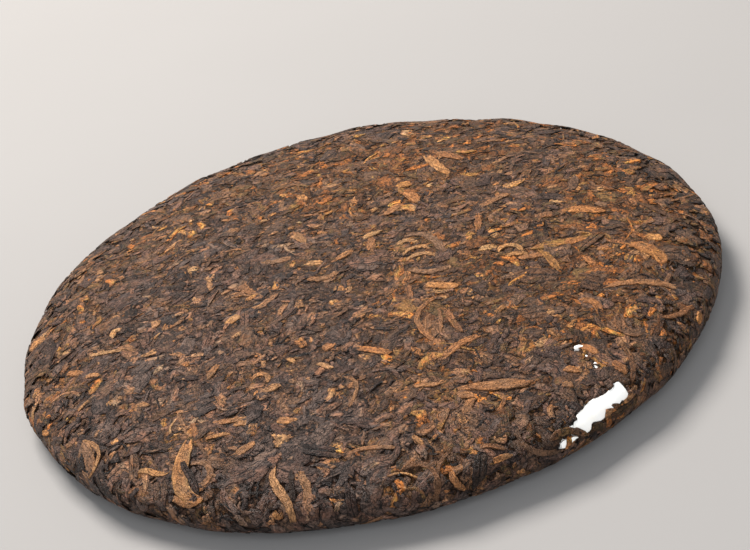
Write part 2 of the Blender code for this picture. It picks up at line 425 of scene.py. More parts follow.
@dataclass(frozen=True)
class TeaTones:
    """The colours of fermented tea from black-brown to pale gold, by tone from 0 to 1."""

    stops: tuple[tuple[float, tuple[int, int, int]], ...] = (
        (0.00, (30, 19, 13)),
        (0.14, (58, 41, 31)),
        (0.28, (86, 64, 50)),
        (0.42, (110, 82, 63)),
        (0.56, (137, 100, 73)),
        (0.70, (165, 119, 79)),
        (0.85, (193, 148, 100)),
        (1.00, (220, 188, 138)),
    )
    casts: tuple[tuple[float, tuple[float, float, float]], ...] = (
        (0.0, (0.84, 0.98, 1.28)),
        (0.25, (1.04, 0.93, 1.02)),
        (0.5, (1.0, 1.0, 0.98)),
        (0.62, (1.10, 0.97, 0.81)),
        (0.75, (1.22, 0.95, 0.66)),
        (0.86, (1.0, 1.03, 0.58)),
        (1.0, (1.38, 0.90, 0.38)),
    )

    def ramp(self, wiring: Wiring, share: object, stops: list[tuple[float, tuple]]) -> bpy.types.NodeSocket:
        """The colour of a ramp with the given stops."""
        ramp = wiring.node("ValToRGB", None, Fac=share)
        marks = ramp.color_ramp.elements
        for index, (position, colour) in enumerate(stops):
            mark = marks[index] if index < 2 else marks.new(position)
            mark.position = position
            mark.color = colour
        return ramp.outputs["Color"]

    def group(self) -> bpy.types.NodeTree:
        """A node group that turns a tone into a colour, shifted to slate, purple, olive or rust."""
        wiring, brought, taken = new_group("tea_tone", {"Tone": "Float", "Cast": "Float"}, {"Color": "Color"})
        plain = self.ramp(wiring, brought["Tone"], [(at, srgb(*colour)) for at, colour in self.stops])
        shift = self.ramp(wiring, brought["Cast"], [(at, (*colour, 1.0)) for at, colour in self.casts])
        wiring.feed(taken["Color"], wiring.blend(1.0, plain, shift, "MULTIPLY"))
        return wiring.tree


@dataclass(frozen=True)
class LeafGrain:
    """Fine lines along a leaf, read from its own flat map."""

    def group(self) -> bpy.types.NodeTree:
        """A node group that draws lines stretched along the leaf, in two finenesses."""
        wiring, brought, taken = new_group(
            "leaf_grain",
            {"Map": "Vector", "Seed": "Float"},
            {"Streak": "Float", "Crease": "Float", "Height": "Float"},
        )
        apart = wiring.node("SeparateXYZ", None, Vector=brought["Map"])
        shift = wiring.sum("MULTIPLY", brought["Seed"], 61.0)
        coarse = wiring.node("CombineXYZ", None, X=wiring.sum("MULTIPLY", apart.outputs[0], 2.6),
                             Y=wiring.sum("MULTIPLY", apart.outputs[1], 10.0), Z=shift).outputs[0]
        fine = wiring.node("CombineXYZ", None, X=wiring.sum("MULTIPLY", apart.outputs[0], 9.0),
                           Y=wiring.sum("MULTIPLY", apart.outputs[1], 26.0), Z=shift).outputs[0]
        broad_lines = wiring.noise(coarse, 1.0, 2.0, 0.55, 0.5)
        fine_lines = wiring.noise(fine, 1.0, 2.0, 0.6, 0.3)
        streak = wiring.sum("ADD", wiring.sum("MULTIPLY", broad_lines, 0.55),
                            wiring.sum("MULTIPLY", fine_lines, 0.45))
        crease = wiring.ridge(broad_lines, 16.0)
        wiring.feed(taken["Streak"], streak)
        wiring.feed(taken["Crease"], crease)
        height = wiring.sum("ADD", broad_lines, wiring.sum("MULTIPLY", fine_lines, 0.6))
        wiring.feed(taken["Height"], wiring.sum("SUBTRACT", height, wiring.sum("MULTIPLY", crease, 0.35)))
        return wiring.tree


@dataclass(frozen=True)
class PressedCrumple:
    """The crumpling and mottling that pressing leaves over all the tea, read from its place."""

    def group(self) -> bpy.types.NodeTree:
        """A node group with fine crumples, mottling, patches that took more colour, and slow casts.

        The cast also drifts evenly across the cake: painted light colour, warmer towards the back and right
        and greyer towards the front and left.
        """
        wiring, brought, taken = new_group(
            "pressed_crumple",
            {"Place": "Vector"},
            {"Height": "Float", "Mottle": "Float", "Crack": "Float", "Patch": "Float", "Cast": "Float"},
        )
        place = brought["Place"]
        fine = wiring.noise(place, 2300.0, 2.0, 0.6)
        middle = wiring.noise(place, 900.0, 2.0, 0.55, 0.6)
        patches = wiring.noise(place, 260.0, 2.0, 0.5, 0.7)
        regions = wiring.noise(place, 24.0, 2.0, 0.5)
        casts = wiring.noise(place, 170.0, 2.0, 0.5, 0.5)
        crack = wiring.ridge(wiring.noise(place, 420.0, 2.0, 0.6, 1.2), 20.0)
        height = wiring.sum("ADD", wiring.sum("MULTIPLY", fine, 0.8), middle)
        wiring.feed(taken["Height"], wiring.sum("SUBTRACT", height, wiring.sum("MULTIPLY", crack, 0.3)))
        wiring.feed(taken["Crack"], crack)
        mottle = wiring.sum("ADD", wiring.sum("MULTIPLY", fine, 0.5), wiring.sum("MULTIPLY", middle, 0.5))
        wiring.feed(taken["Mottle"], mottle)
        warm = wiring.sum("ADD", patches, wiring.sum("MULTIPLY", wiring.sum("SUBTRACT", regions, 0.5), 0.9))
        wiring.feed(taken["Patch"], wiring.rescale(warm, (0.46, 0.70), (0.0, 1.0)))
        cast = wiring.sum("ADD", casts, wiring.sum("MULTIPLY", wiring.sum("SUBTRACT", regions, 0.5), 1.2))
        # Painted light colour: the cast rises towards the back and right, so that side is warmer and the front
        # and left greyer.
        drift = wiring.node("VectorMath", {"operation": "DOT_PRODUCT"}, in0=place, in1=(2.6, 3.2, 0.0))
        cast = wiring.sum("ADD", wiring.rescale(cast, (0.32, 0.68), (0.0, 1.0)), drift.outputs["Value"])
        wiring.feed(taken["Cast"], cast)
        return wiring.tree


@dataclass(frozen=True)
class LeafShards:
    """Broken leaf pressed edge to edge: shards of two directions and finer bits among them."""

    shard_scales: tuple[tuple[float, float, float], ...] = (
        (280.0, 560.0, 420.0),
        (560.0, 280.0, 420.0),
        (1050.0, 1250.0, 1150.0),
    )

    def group(self) -> bpy.types.NodeTree:
        """A node group that gives each shard a value and a cast of its own, and the gaps between shards.

        The place is bent by noise and stretched, and the cells of a Voronoi pattern are the shards. Two
        noises choose which of the three patterns shows.
        """
        wiring, brought, taken = new_group(
            "leaf_shards", {"Place": "Vector"}, {"Value": "Float", "Cast": "Float", "Gap": "Float"}
        )
        place = brought["Place"]
        bend = wiring.node("TexNoise", None, Vector=place, Scale=520.0, Detail=2.0).outputs["Color"]
        bent = wiring.node("VectorMath", {"operation": "MULTIPLY_ADD"}, in0=bend,
                           in1=(0.003, 0.003, 0.003), in2=place).outputs[0]
        patterns = []
        for scales in self.shard_scales:
            grid = wiring.node("VectorMath", {"operation": "MULTIPLY"}, in0=bent, in1=scales).outputs[0]
            cell = wiring.node("TexVoronoi", {"feature": "F1"}, Vector=grid, Scale=1.0).outputs["Color"]
            border = wiring.node("TexVoronoi", {"feature": "DISTANCE_TO_EDGE"}, Vector=grid, Scale=1.0)
            parts = wiring.node("SeparateColor", None, Color=cell).outputs
            gap = wiring.rescale(border.outputs["Distance"], (0.02, 0.12), (1.0, 0.0))
            patterns.append((parts[0], parts[1], gap))
        turned = wiring.rescale(wiring.noise(place, 190.0), (0.47, 0.53), (0.0, 1.0))
        fine = wiring.rescale(wiring.noise(place, 310.0), (0.52, 0.58), (0.0, 1.0))
        for label, first, second, third in zip(("Value", "Cast", "Gap"), *patterns):
            coarse = wiring.sum("MULTIPLY_ADD", wiring.sum("SUBTRACT", second, first), turned, first)
            mixed = wiring.sum("MULTIPLY_ADD", wiring.sum("SUBTRACT", third, coarse), fine, coarse)
            wiring.feed(taken[label], mixed)
        return wiring.tree


@dataclass
class NodeGroups:
    """The shared effects, built once."""

    tone: bpy.types.NodeTree = field(init=False)
    grain: bpy.types.NodeTree = field(init=False)
    crumple: bpy.types.NodeTree = field(init=False)
    shards: bpy.types.NodeTree = field(init=False)

    def __post_init__(self) -> None:
        """Builds each group."""
        self.tone = TeaTones().group()
        self.grain = LeafGrain().group()
        self.crumple = PressedCrumple().group()
        self.shards = LeafShards().group()


@dataclass(frozen=True)
class TeaFinish:
    """The finish of one kind of tea: how its tone and shade vary and how rough it is.

    Streak, mottle and patch move the tone along the tea's colours. Edge moves it too: painted shade on the
    leaves' side walls and outer edges and in the bed's hollows. The shade makes a colour lighter or darker
    without changing it: lines and specks by their shares, as the tea's own variation, and creases and cracks
    by what they take, as painted shade in them.
    """

    name: str
    streak: float = 0.15
    mottle: float = 0.12
    patch: float = 0.06
    edge: float = -0.45
    cast: float = 0.0
    drift: float = 0.6
    shade_streak: float = 1.15
    shade_mottle: float = 1.15
    crease: float = -0.4
    crack: float = -0.72
    roughness: Span = (0.42, 0.66)
    relief: float = 0.8
    specular: float = 0.28
    shards: float = 0.0

    def material(self, groups: NodeGroups) -> bpy.types.Material:
        """A Principled material whose tone follows the leaf, its lines, the painted shade at its edge and the
        mottling.
        """
        material = bpy.data.materials.new(self.name)
        material.use_nodes = True
        wiring = Wiring(material.node_tree)
        shader = material.node_tree.nodes["Principled BSDF"]
        place = wiring.node("TexCoord").outputs["Object"]
        flat = wiring.node("UVMap", {"uv_map": "leaf_map"}).outputs[0]
        tint, seed, edge = (
            wiring.node("Attribute", {"attribute_name": label}).outputs["Fac"]
            for label in ("tint", "seed", "edge")
        )
        grain = wiring.node("Group", {"node_tree": groups.grain}, Map=flat, Seed=seed)
        crumple = wiring.node("Group", {"node_tree": groups.crumple}, Place=place)
        lines = wiring.sum("SUBTRACT", grain.outputs["Streak"], 0.5)
        specks = wiring.sum("SUBTRACT", crumple.outputs["Mottle"], 0.5)
        tone, shade = tint, 1.0
        # The edge term is painted shade: it darkens the leaves' side walls and outer edges and the bed's
        # hollows.
        for share, amount in ((lines, self.streak), (specks, self.mottle),
                              (crumple.outputs["Patch"], self.patch), (edge, self.edge)):
            tone = wiring.sum("MULTIPLY_ADD", share, amount, tone)
        # Creases and cracks darken the colour as painted shade in them; lines and specks are the tea's own
        # lighter and darker parts.
        for share, amount in ((lines, self.shade_streak), (specks, self.shade_mottle),
                              (crumple.outputs["Crack"], self.crack), (grain.outputs["Crease"], self.crease)):
            shade = wiring.sum("MULTIPLY_ADD", share, amount, shade)
        relief = wiring.sum("MULTIPLY_ADD", grain.outputs["Height"], 0.8, crumple.outputs["Height"])
        own = seed
        if self.shards:
            broken = wiring.node("Group", {"node_tree": groups.shards}, Place=place)
            own = broken.outputs["Cast"]
            value = wiring.sum("SUBTRACT", broken.outputs["Value"], 0.5)
            tone = wiring.sum("MULTIPLY_ADD", value, self.shards, tone)
            # Painted shade in the gaps between shards; the next line also sinks them in the bump.
            shade = wiring.sum("MULTIPLY_ADD", broken.outputs["Gap"], -0.6, shade)
            relief = wiring.sum("MULTIPLY_ADD", broken.outputs["Gap"], -0.8, relief)
        cast = wiring.sum("MULTIPLY_ADD", own, 0.8, self.cast - 0.15)
        # The crumple's cast holds random casts and the painted light colour that drifts across the cake; drift
        # scales both.
        cast = wiring.sum("MULTIPLY_ADD", crumple.outputs["Cast"], self.drift, cast, clamp=True)
        plain = wiring.node("Group", {"node_tree": groups.tone}, Tone=tone, Cast=cast).outputs[0]
        shade = wiring.rescale(shade, (0.12, 2.5), (0.12, 2.5))
        colour = wiring.node("VectorMath", {"operation": "SCALE"}, in0=plain, Scale=shade).outputs[0]
        wiring.feed(shader.inputs["Base Color"], colour)
        wiring.feed(shader.inputs["Roughness"],
                    wiring.rescale(grain.outputs["Streak"], (0.3, 0.7), self.roughness))
        shader.inputs["Specular IOR Level"].default_value = self.specular
        bump = wiring.node("Bump", None, Strength=1.0, Distance=self.relief * MM, Height=relief)
        wiring.feed(shader.inputs["Normal"], bump.outputs[0])
        return material


@dataclass(frozen=True)
class PaperFinish:
    """Thin white paper, creased and a little stained by the tea."""

    name: str = "ticket_paper"

    def material(self) -> bpy.types.Material:
        """A matt material with fine fibres, soft creases and faint cream stains."""
        material = bpy.data.materials.new(self.name)
        material.use_nodes = True
        wiring = Wiring(material.node_tree)
        shader = material.node_tree.nodes["Principled BSDF"]
        place = wiring.node("TexCoord").outputs["Object"]
        stain = wiring.rescale(wiring.noise(place, 160.0, 3.0, 0.6), (0.5, 0.75), (0.0, 0.35))
        colour = wiring.blend(stain, srgb(252, 250, 246), srgb(236, 220, 190))
        wiring.feed(shader.inputs["Base Color"], colour)
        shader.inputs["Roughness"].default_value = 0.8
        fibres = wiring.noise(place, 2600.0, 2.0, 0.5)
        creases = wiring.noise(place, 330.0, 2.0, 0.4, 1.2)
        height = wiring.sum("ADD", wiring.sum("MULTIPLY", fibres, 0.3), creases)
        bump = wiring.node("Bump", None, Strength=0.5, Distance=0.12 * MM, Height=height)
        wiring.feed(shader.inputs["Normal"], bump.outputs[0])
        return material


@dataclass(frozen=True)
class FloorFinish:
    """A plain pale grey floor."""

    name: str = "studio_floor"
    colour: tuple[int, int, int] = (142, 140, 139)

    def material(self) -> bpy.types.Material:
        """A matt material with barely visible unevenness."""
        material = bpy.data.materials.new(self.name)
        material.use_nodes = True
        wiring = Wiring(material.node_tree)
        shader = material.node_tree.nodes["Principled BSDF"]
        place = wiring.node("TexCoord").outputs["Object"]
        shade = wiring.rescale(wiring.noise(place, 9.0, 2.0), (0.3, 0.7), (0.0, 0.12))
        colour = wiring.blend(shade, srgb(*self.colour), srgb(130, 128, 127))
        wiring.feed(shader.inputs["Base Color"], colour)
        shader.inputs["Roughness"].default_value = 0.9
        return material


# ---------------------------------------------------------------------------------------------------
# The bed of fine leaf
# ---------------------------------------------------------------------------------------------------


@dataclass(frozen=True)
class FlowField:
    """The way the leaves lie: slow swirls, as the bag was twisted and pressed."""

    waves: int = 6
    strength: float = 0.95
    longest: float = 74.0
    seed: int = 5

    def heading(self, chart: Array) -> Array:
        """An angle for each place: a sum of sine waves of random direction and falling length."""
        rng = np.random.default_rng(self.seed)
        angle = np.full(chart.shape[:-1], rng.uniform(0, math.pi))
        for index in range(self.waves):
            length = self.longest / (1 + 0.45 * index)
            turn, phase = rng.uniform(0, 2 * math.pi, 2)
            way = chart[..., 0] * math.cos(turn) + chart[..., 1] * math.sin(turn)
            angle = angle + self.strength * np.sin(2 * math.pi * way / length + phase)
        return angle


@dataclass
class LeafBed:
    """The cake's body under the leaves: scales of broken leaf pressed into each other."""

    name: str
    side: Side
    reach: float
    rows: int
    seed: int
    depth: float = 0.34
    rim_depth: float = 0.55
    relief: float = 0.40
    cells: tuple[tuple[float, float], ...] = ((3.4, 0.5), (1.5, 0.5))
    under_paper: float = 1.7

    def scales(self, chart: Array, heading: Array, cell: float, seed: int) -> tuple[Array, Array, Array]:
        """Height, tint and seed of the uppermost scale of one size at each place.

        Each cell of a square grid holds one scale: a long, low paraboloid at a random height, turned with
        the flow and tilted. A place takes the highest of the scales in the 5 by 5 cells around it.
        """
        rng = np.random.default_rng(seed)
        cells = int(2 * self.reach / cell) + 12
        table = rng.uniform(0, 1, (8, cells, cells))
        grid = chart / cell + cells / 2
        corner = np.floor(grid).astype(int)
        best = np.full(chart.shape[:-1], -10.0)
        tint = np.zeros_like(best)
        own_seed = np.zeros_like(best)
        for step_x in range(-2, 3):
            for step_y in range(-2, 3):
                column = np.clip(corner[..., 0] + step_x, 0, cells - 1)
                row = np.clip(corner[..., 1] + step_y, 0, cells - 1)
                near = table[:, column, row]
                offset_x = grid[..., 0] - column - near[0]
                offset_y = grid[..., 1] - row - near[1]
                angle = heading + (near[2] - 0.5) * 2.4
                along = offset_x * np.cos(angle) + offset_y * np.sin(angle)
                across = offset_y * np.cos(angle) - offset_x * np.sin(angle)
                length = 0.9 + 1.0 * near[3]
                width = 0.32 + 0.4 * near[4]
                height = near[5] - 0.6 * (along / length) ** 2 - 0.5 * (across / width) ** 2
                height = height + 0.3 * (near[6] - 0.5) * along + 0.7 * (near[7] - 0.5) * across
                higher = height > best
                best = np.where(higher, height, best)
                tint = np.where(higher, near[6], tint)
                own_seed = np.where(higher, near[3], own_seed)
        return best, tint, own_seed

    def relief_at(self, chart: Array, flow: FlowField) -> tuple[Array, Array, Array]:
        """The sum of the scales of every size, with tints and seeds mixed by the same shares."""
        heading = flow.heading(chart)
        total = np.zeros((3, *chart.shape[:-1]))
        for index, (cell, share) in enumerate(self.cells):
            total += share * np.stack(self.scales(chart, heading, cell, self.seed + index))
        return total[0], total[1], total[2]

    def build(self, skin: CakeSkin, ticket: TicketPlace, flow: FlowField,
              material: bpy.types.Material) -> bpy.types.Object:
        """The bed as one closed piece.

        A square grid is carried onto the chart's disc by concentric rings, so that its cells keep their
        size, then placed under the skin. A fan from the cake's middle closes it.
        """
        steps = np.linspace(-1, 1, self.rows + 1)
        square_x, square_y = np.meshgrid(steps, steps, indexing="ij")
        ring = np.maximum(np.abs(square_x), np.abs(square_y))
        wide = np.abs(square_x) >= np.abs(square_y)
        safe = np.where(ring > 0, ring, 1)
        turn = np.where(
            wide,
            square_y / safe * math.pi / 4 + np.where(square_x < 0, math.pi, 0) * 1.0,
            math.pi / 2 - square_x / safe * math.pi / 4 + np.where(square_y < 0, math.pi, 0) * 1.0,
        )
        turn = np.where(wide & (square_x < 0), math.pi - square_y / safe * math.pi / 4, turn)
        turn = np.where(~wide & (square_y < 0), 1.5 * math.pi + square_x / safe * math.pi / 4, turn)
        chart = np.stack([ring * np.cos(turn), ring * np.sin(turn)], axis=-1) * self.reach
        scales, tint, seed = self.relief_at(chart, flow)
        loose = rim_looseness(np.hypot(chart[..., 0], chart[..., 1]))
        lift = -self.depth - self.rim_depth * loose + self.relief * scales
        if self.side is Side.FACE:
            inside = ticket.depth_inside(*ticket.from_chart(skin, chart))
            lift = np.where(inside > -0.5, -self.under_paper, lift)
        points = skin.place(self.side, chart, lift).reshape(-1, 3)
        points[:, 2] = np.maximum(points[:, 2], 0.05)
        number = np.arange((self.rows + 1) ** 2).reshape(self.rows + 1, self.rows + 1)
        quads = np.stack([number[:-1, :-1], number[1:, :-1], number[1:, 1:], number[:-1, 1:]], axis=-1)
        loop = np.concatenate([number[:-1, 0], number[-1, :-1], number[:0:-1, -1], number[0, :0:-1]])
        middle = len(points)
        fan = np.stack([np.roll(loop, -1), loop, np.full(len(loop), middle)], axis=-1)
        closing = skin.rim_height + (7.0 if self.side is Side.FACE else 4.0)
        points = np.concatenate([points, [[0, 0, closing]]])
        # The edge value is 1 in the hollows between scales and 0 on their tops; the finish darkens the hollows
        # by it as painted shade.
        values = {
            "tint": np.append(0.34 + 0.22 * tint.ravel(), 0.0),
            "seed": np.append(seed.ravel(), 0.0),
            "edge": np.append(smooth_step((0.55 - scales.ravel()) / 0.5), 0.0),
        }
        flat = np.append(chart.reshape(-1, 2), [[0, 0]], axis=0) / 10
        piece = mesh_piece(self.name, points, [quads.reshape(-1, 4), fan], values, flat)
        finish_piece(piece, material, "tea_cake")
        return piece


# ---------------------------------------------------------------------------------------------------
# Pressed leaves
# ---------------------------------------------------------------------------------------------------


class Section(Enum):
    """Cross-sections of a leaf: (across, height) for each point, from the right foot over the top."""

    ROLLED = ((-0.8, -0.9), (-1.0, 0.2), (-0.35, 0.9), (0.4, 0.8), (1.0, 0.15), (0.8, -0.9))
    FLAT = ((-0.95, -1.0), (-0.9, 0.3), (-0.25, 0.2), (0.35, 0.45), (0.9, 0.3), (0.95, -1.0))
    GROOVED = (
        (-0.9, -1.0), (-1.0, 0.2), (-0.6, 0.7), (-0.3, 0.1), (0.05, 0.65), (0.4, 0.15), (0.75, 0.6),
        (1.0, 0.2), (0.9, -1.0),
    )
    BROAD = (
        (-0.96, -1.2), (-0.95, 0.2), (-0.7, 0.6), (-0.4, 0.15), (-0.1, 0.5), (0.0, -0.1), (0.12, 0.6),
        (0.45, 0.2), (0.7, 0.6), (0.95, 0.2), (0.96, -1.2),
    )
    FOLDED = (
        (-0.9, -1.0), (-1.0, 0.5), (-0.82, 0.9), (-0.55, 0.1), (0.0, 0.05), (0.5, 0.15), (0.8, 0.8),
        (1.0, 0.5), (0.9, -1.0),
    )


@dataclass(frozen=True)
class LeafCut:
    """The range of shapes of one kind of leaf. Millimetres and radians."""

    section: Section
    rings: int
    length: Span
    width: Span
    thickness: Span
    bend: float
    sway: float
    stray: float
    taper: float
    ragged: float
    dive: float
    sunk: Span
    tilt: float = 0.05
    roll: float = 0.12
    crease: float = 0.25
    heave: float = 0.10
    kink: float = 0.16
    blunt: float = 0.18
    hooked: float = 0.0
    slant: float = 0.7
    gilt: float = 0.0


@dataclass(frozen=True)
class ToneMix:
    """The tones of one kind of leaf: (share, middle tone, spread)."""

    parts: tuple[tuple[float, float, float], ...]

    def draw(self, rng: np.random.Generator, count: int) -> Array:
        """Random tones: each leaf picks a part by its share, then a tone around its middle."""
        shares, middles, spreads = np.array(self.parts).T
        part = rng.choice(len(shares), size=count, p=shares / shares.sum())
        return np.clip(rng.normal(middles[part], spreads[part]), 0.0, 1.0)


@dataclass
class LeafPaths:
    """Middle lines of leaves on a chart, with what each needs to get its body."""

    lines: Array
    length: Array
    width: Array
    thickness: Array
    sunk: Array
    tint: Array
    seed: Array
    lean: Array
    rise: Array


@dataclass
class LeafLayer:
    """Many leaves of one kind on one side of the cake, as one piece."""

    name: str
    side: Side
    cut: LeafCut
    tones: ToneMix
    count: int
    seed: int
    reach: float
    highest: float = 0.16
    give: float = 0.07
    rim_rise: float = 0.10
    over_ticket: bool = False

    def scatter(self, skin: CakeSkin, flow: FlowField, rng: np.random.Generator) -> LeafPaths:
        """Lays the leaves out evenly, each along the flow with a bend, a sway and some stray.

        Middles follow a sunflower spiral with jitter. A leaf's heading changes along it by a bend, an S
        and at times a hook, and its line is the running sum of steps in that heading. Steps around the
        cake are stretched by travel over ring radius, so that the leaf keeps its size on the skin.
        """
        cut = self.cut
        index = np.arange(self.count) + 0.5
        distance = self.reach * np.sqrt(index / self.count)
        turn = index * GOLDEN_ANGLE + rng.uniform(0, 2 * math.pi)
        middle = np.stack([distance * np.cos(turn), distance * np.sin(turn)], axis=-1)
        spacing = self.reach * math.sqrt(math.pi / self.count)
        middle += rng.normal(0, 0.4 * spacing, middle.shape)
        length = spread(rng, cut.length, self.count) * rng.uniform(0.75, 1.1, self.count)
        along = np.linspace(-1, 1, cut.rings)
        angle = (flow.heading(middle) + rng.normal(0, cut.stray, self.count))[:, None]
        angle = angle + rng.normal(0, cut.bend, self.count)[:, None] * along
        phase = rng.uniform(0, 2 * math.pi, self.count)[:, None]
        angle = angle + rng.normal(0, cut.sway, self.count)[:, None] * np.sin(math.pi * along + phase)
        angle = angle + np.cumsum(rng.normal(0, cut.kink, angle.shape), axis=1)
        hook = (rng.uniform(0, 1, self.count) < cut.hooked) * rng.choice([-2.4, 2.4], self.count)
        angle = angle + hook[:, None] * smooth_step((along - 0.2) / 0.8)
        stride = (length / (cut.rings - 1))[:, None]
        steps = np.stack([np.cos(angle), np.sin(angle)], axis=-1) * stride[..., None]
        line = np.cumsum(steps, axis=1)
        line -= line.mean(axis=1, keepdims=True)
        line = middle[:, None, :] + self.stretched(skin, middle, line)
        return LeafPaths(
            lines=line,
            length=length,
            width=spread(rng, cut.width, self.count),
            thickness=spread(rng, cut.thickness, self.count),
            sunk=spread(rng, cut.sunk, self.count),
            tint=self.tones.draw(rng, self.count),
            seed=rng.uniform(0, 1, self.count),
            lean=rng.uniform(-0.3, 0.3, self.count),
            rise=np.zeros(self.count),
        )

    def stretched(self, skin: CakeSkin, middle: Array, offsets: Array) -> Array:
        """Offsets on the skin as offsets on the chart: the part around the cake grows by travel / radius."""
        distance = np.maximum(np.hypot(middle[:, 0], middle[:, 1]), 1e-6)
        radius = np.maximum(skin.ring_radius(self.side, distance), 1e-6)
        growth = np.where(distance > 6, distance / radius, 1.0)[:, None]
        around = np.stack([-middle[:, 1], middle[:, 0]], axis=-1) / distance[:, None]
        part = (offsets * around[:, None, :]).sum(axis=-1)
        return offsets + (part * (growth - 1))[..., None] * around[:, None, :]

    def body(self, skin: CakeSkin, ticket: TicketPlace, paths: LeafPaths,
             rng: np.random.Generator) -> bpy.types.Object:
        """Carries the cross-section along every line.

        The half width falls to a blunt tip at both ends as a power of the distance from the middle, and
        each side of each ring is a little ragged; the ends are cut off at a slant. The height is the section's own, plus a tilt along and
        across the leaf, a twist, a crease, and a dive of both ends under the skin. Heights over the
        pressed level are squeezed, and what would lie over the ticket's gaps goes under the paper.
        """
        cut = self.cut
        count, rings = paths.lines.shape[:2]
        section = np.array(cut.section.value)
        points = len(section)
        along = np.linspace(-1, 1, rings)
        forward = np.gradient(paths.lines, axis=1)
        forward /= np.maximum(np.linalg.norm(forward, axis=-1, keepdims=True), 1e-9)
        leftward = np.stack([-forward[..., 1], forward[..., 0]], axis=-1)
        loose = rim_looseness(np.linalg.norm(paths.lines[:, rings // 2], axis=-1))[:, None]
        shape = np.maximum(1 - np.abs(along) ** cut.taper, 0) ** 0.6
        blunt = cut.blunt + (0.85 - cut.blunt) * rng.uniform(0, 1, (count, 2)) ** 2
        blunt = np.where(along < 0, blunt[:, :1], blunt[:, 1:])
        half = paths.width[:, None] / 2 * (blunt + (1 - blunt) * shape) * (1 + paths.lean[:, None] * along)
        rough = 1 + cut.ragged * rng.uniform(-1, 1, (count, rings, 2))
        rough = np.where(section[:, 0] < 0, rough[..., :1], rough[..., 1:])
        across = section[:, 0] * rough * half[..., None]
        twist = rng.normal(0, cut.roll, (count, 2)) @ np.stack([np.ones(rings), along])
        slope = rng.normal(0, cut.tilt, count)[:, None] * along * paths.length[:, None] / 2
        top = section[:, 1] > 0
        folds = cut.crease * rng.uniform(-1, 1, (count, rings, points)) * top
        thickness = (paths.thickness[:, None] * (1 + 0.1 * loose))[..., None]
        lift = thickness * (section[:, 1] * (0.4 + 0.6 * shape[:, None]) + folds)
        heave = cut.heave * np.sin(rng.uniform(3, 7, (count, 1)) * along + rng.uniform(0, 6.3, (count, 1)))
        lift = lift + twist[..., None] * across + (slope + heave)[..., None]
        ends = np.abs(along) ** 3
        dive = cut.dive * rng.uniform(0.3, 1.2, (count, 2))
        sink = np.where(along < 0, dive[:, :1] * ends, dive[:, 1:] * ends)
        lift = lift + (paths.sunk[:, None] + 0.12 * loose - sink)[..., None]
        highest = (self.highest + self.rim_rise * loose)[..., None]
        give = self.give * (1 + loose[..., None])
        lift = highest - give * np.logaddexp(0, (highest - lift) / give)
        lift = lift + (paths.rise[:, None] * (1 - np.abs(along) ** 4))[..., None]
        slant = rng.normal(0, cut.slant, (count, 2))
        cut_off = np.where(along < 0, slant[:, :1], slant[:, 1:]) * np.abs(along) ** 2
        chart = paths.lines[:, :, None, :] + across[..., None] * leftward[:, :, None, :]
        chart = chart + (across * cut_off[..., None])[..., None] * forward[:, :, None, :]
        if self.side is Side.FACE and not self.over_ticket:
            inside = ticket.depth_inside(*ticket.from_chart(skin, chart))
            lift = np.where(inside > 0, np.minimum(lift, -1.45), lift)
        place = skin.place(self.side, chart, lift)
        place[..., 2] = np.maximum(place[..., 2], 0.0)
        number = np.arange(count * rings * points).reshape(count, rings, points)
        after = np.roll(number, -1, axis=2)
        quads = np.stack([number[:, :-1], number[:, 1:], after[:, 1:], after[:, :-1]], axis=-1)
        caps = np.concatenate([number[:, 0], number[:, -1, ::-1]])
        upper = np.broadcast_to(top & np.roll(top, -1), quads.shape[:-1])
        walked = np.linspace(0, 1, rings)[:, None] * paths.length[:, None, None]
        flat = np.stack(np.broadcast_arrays(walked, across), axis=-1).reshape(-1, 2) / 10
        full = np.ones((count, rings, points))
        # The edge value is painted shade: 1 on the side walls, where leaves meet in shadowed cracks, and
        # rising towards the top's outer edges; a gilt over 0.35 lightens those outer edges instead.
        values = {
            # The tint falls towards the rim: painted shade for the shadowed rim.
            "tint": full * (paths.tint[:, None] - 0.05 * loose)[..., None],
            "seed": full * paths.seed[:, None, None],
            "edge": full * np.where(top, (0.35 - cut.gilt) * np.abs(section[:, 0]) ** 4, 1.0),
        }
        smooth = [upper.ravel(), np.zeros(len(caps), dtype=bool)]
        return mesh_piece(self.name, place.reshape(-1, 3), [quads.reshape(-1, 4), caps], values, flat, smooth)

    def build(self, skin: CakeSkin, ticket: TicketPlace, flow: FlowField,
              material: bpy.types.Material) -> bpy.types.Object:
        """Scatters the leaves, gives them bodies and dresses them."""
        rng = np.random.default_rng(self.seed)
        piece = self.body(skin, ticket, self.scatter(skin, flow, rng), rng)
        finish_piece(piece, material, "tea_cake")
        return piece


@dataclass(frozen=True)
class Spot:
    """One leaf that stands out: its middle on the chart, its course, size, tone and form.

    Millimetres and degrees. The course is the heading at the middle; the bend turns it evenly from one
    end to the other, and the sway turns both ends the same way. Warm goes from 0, slate, to 1, rust.
    """

    x: float
    y: float
    toward: float
    length: float
    wide: float
    tone: float
    bend: float = 0.0
    sway: float = 0.0
    lean: float = 0.0
    rise: float = 0.0
    warm: float = 0.64


